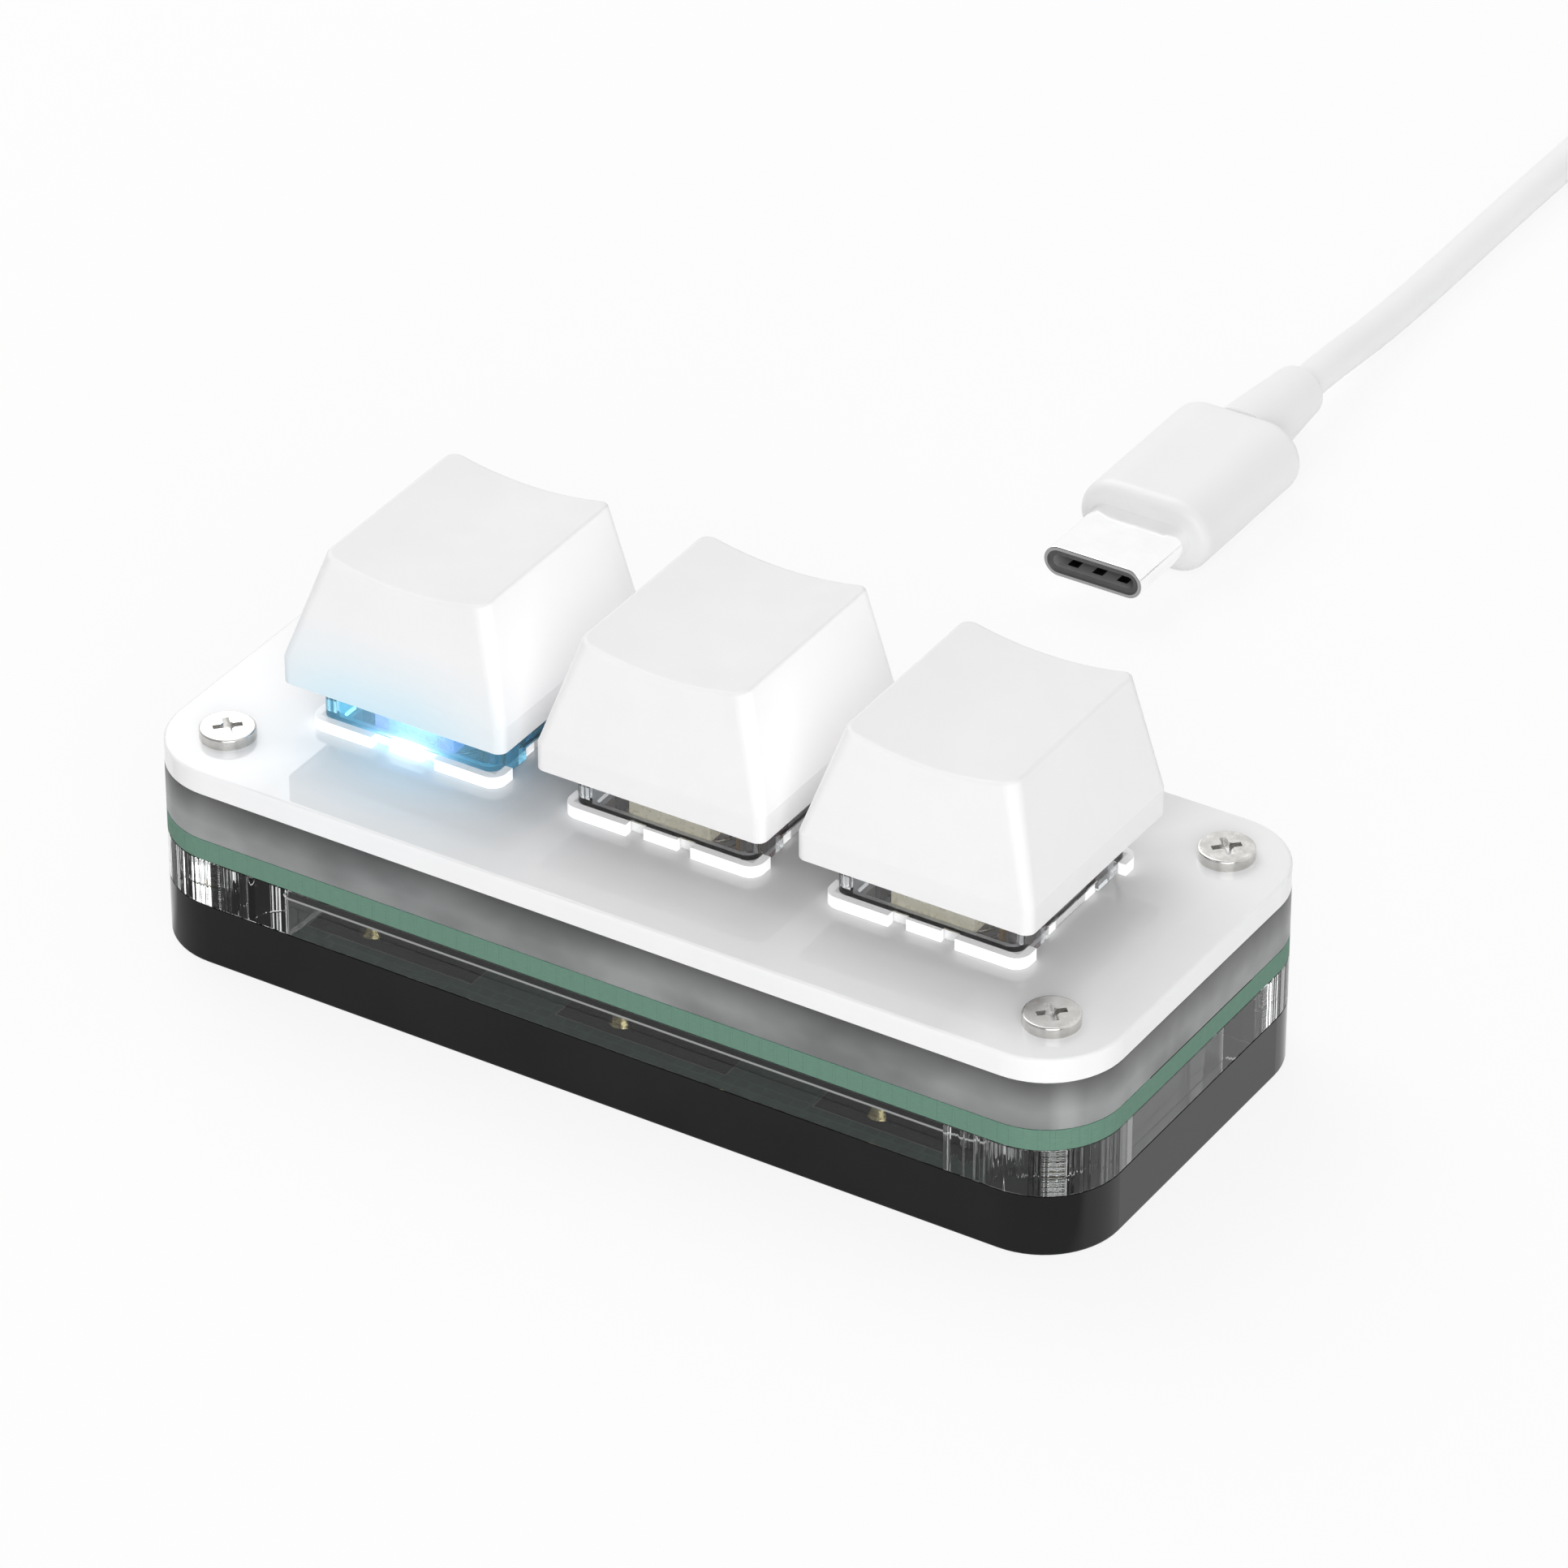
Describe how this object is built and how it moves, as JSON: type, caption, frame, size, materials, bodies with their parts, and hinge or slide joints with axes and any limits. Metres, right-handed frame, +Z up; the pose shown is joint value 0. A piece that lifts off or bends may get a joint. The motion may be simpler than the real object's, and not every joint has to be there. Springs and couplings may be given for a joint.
{
  "type": "macro keypad",
  "caption": "Desk macro keypad: screwed stack of acrylic sheets around a circuit board, mechanical keys that press down, and a loose USB cable.",
  "frame": {"origin": "centre of the underside of the base plate", "axes": "+X along the key row, +Y towards the socket edge, +Z up"},
  "size_m": [0.0819, 0.1881, 0.0301],
  "materials": {
    "black_acrylic": "polished",
    "clear_acrylic": "polished, clear",
    "frosted_acrylic": "frosted",
    "white_acrylic": "polished",
    "green_board": "solder mask",
    "screw_nickel": "nickel plated",
    "brass_insert": "turned",
    "solder": "reflowed",
    "connector_steel": "plated, bright",
    "black_nylon": "moulded",
    "chip_black": "moulded",
    "chip_tan": "ceramic",
    "cable_white": "smooth",
    "plug_white": "satin",
    "relief_white": "smooth",
    "switch_milky": "milky",
    "switch_clear": "clear",
    "stem_red": "moulded",
    "spring_steel": "drawn wire",
    "contact_brass": "stamped",
    "cap_white": "fine moulded texture",
    "guide_cream": "translucent",
    "lamp_off": "lens",
    "lamp_lit": "lens, lit"
  },
  "bodies": {
    "case": {"base_plate": "black_acrylic", "case_screws": "screw_nickel", "chip_capacitors": "chip_tan", "chip_resistors": "chip_black", "circuit_board": "green_board", "key_lamp_1": "lamp_lit", "key_lamp_2": "lamp_off", "key_lamp_3": "lamp_off", "light_guide_1": "guide_cream", "light_guide_2": "guide_cream", "light_guide_3": "guide_cream", "lower_spacer": "clear_acrylic", "microcontroller": "chip_black", "solder_joints": "solder", "switch_contacts_1": "contact_brass", "switch_contacts_2": "contact_brass", "switch_contacts_3": "contact_brass", "switch_lower_housing_1": "switch_milky", "switch_lower_housing_2": "switch_milky", "switch_lower_housing_3": "switch_milky", "switch_spring_1": "spring_steel", "switch_spring_2": "spring_steel", "switch_spring_3": "spring_steel", "switch_upper_housing_1": "switch_clear", "switch_upper_housing_2": "switch_clear", "switch_upper_housing_3": "switch_clear", "threaded_inserts": "brass_insert", "top_plate": "white_acrylic", "upper_spacer": "frosted_acrylic", "usb_a_plug_body": "plug_white", "usb_a_plug_shell": "connector_steel", "usb_a_plug_tongue": "plug_white", "usb_a_strain_relief": "relief_white", "usb_c_plug_body": "plug_white", "usb_c_plug_insert": "black_nylon", "usb_c_plug_shell": "connector_steel", "usb_c_strain_relief": "relief_white", "usb_cable": "cable_white", "usb_cable_coil": "cable_white", "usb_cable_tail": "cable_white", "usb_socket_shell": "connector_steel", "usb_socket_tongue": "black_nylon", "voltage_regulator": "chip_black"},
    "key_1": {"keycap_1": "cap_white", "switch_stem_1": "stem_red"},
    "key_2": {"keycap_2": "cap_white", "switch_stem_2": "stem_red"},
    "key_3": {"keycap_3": "cap_white", "switch_stem_3": "stem_red"}
  },
  "joints": [
    {"name": "key_1_press", "type": "slide", "parent": "case", "child": "key_1", "axis": [0, 0, -1], "range_m": [0, 0.0035], "stiffness_N_per_m": 85, "springref_m": -0.0035, "deforming": ["switch_spring_1"]},
    {"name": "key_2_press", "type": "slide", "parent": "case", "child": "key_2", "axis": [0, 0, -1], "range_m": [0, 0.0035], "stiffness_N_per_m": 85, "springref_m": -0.0035, "deforming": ["switch_spring_2"]},
    {"name": "key_3_press", "type": "slide", "parent": "case", "child": "key_3", "axis": [0, 0, -1], "range_m": [0, 0.0035], "stiffness_N_per_m": 85, "springref_m": -0.0035, "deforming": ["switch_spring_3"]}
  ]
}
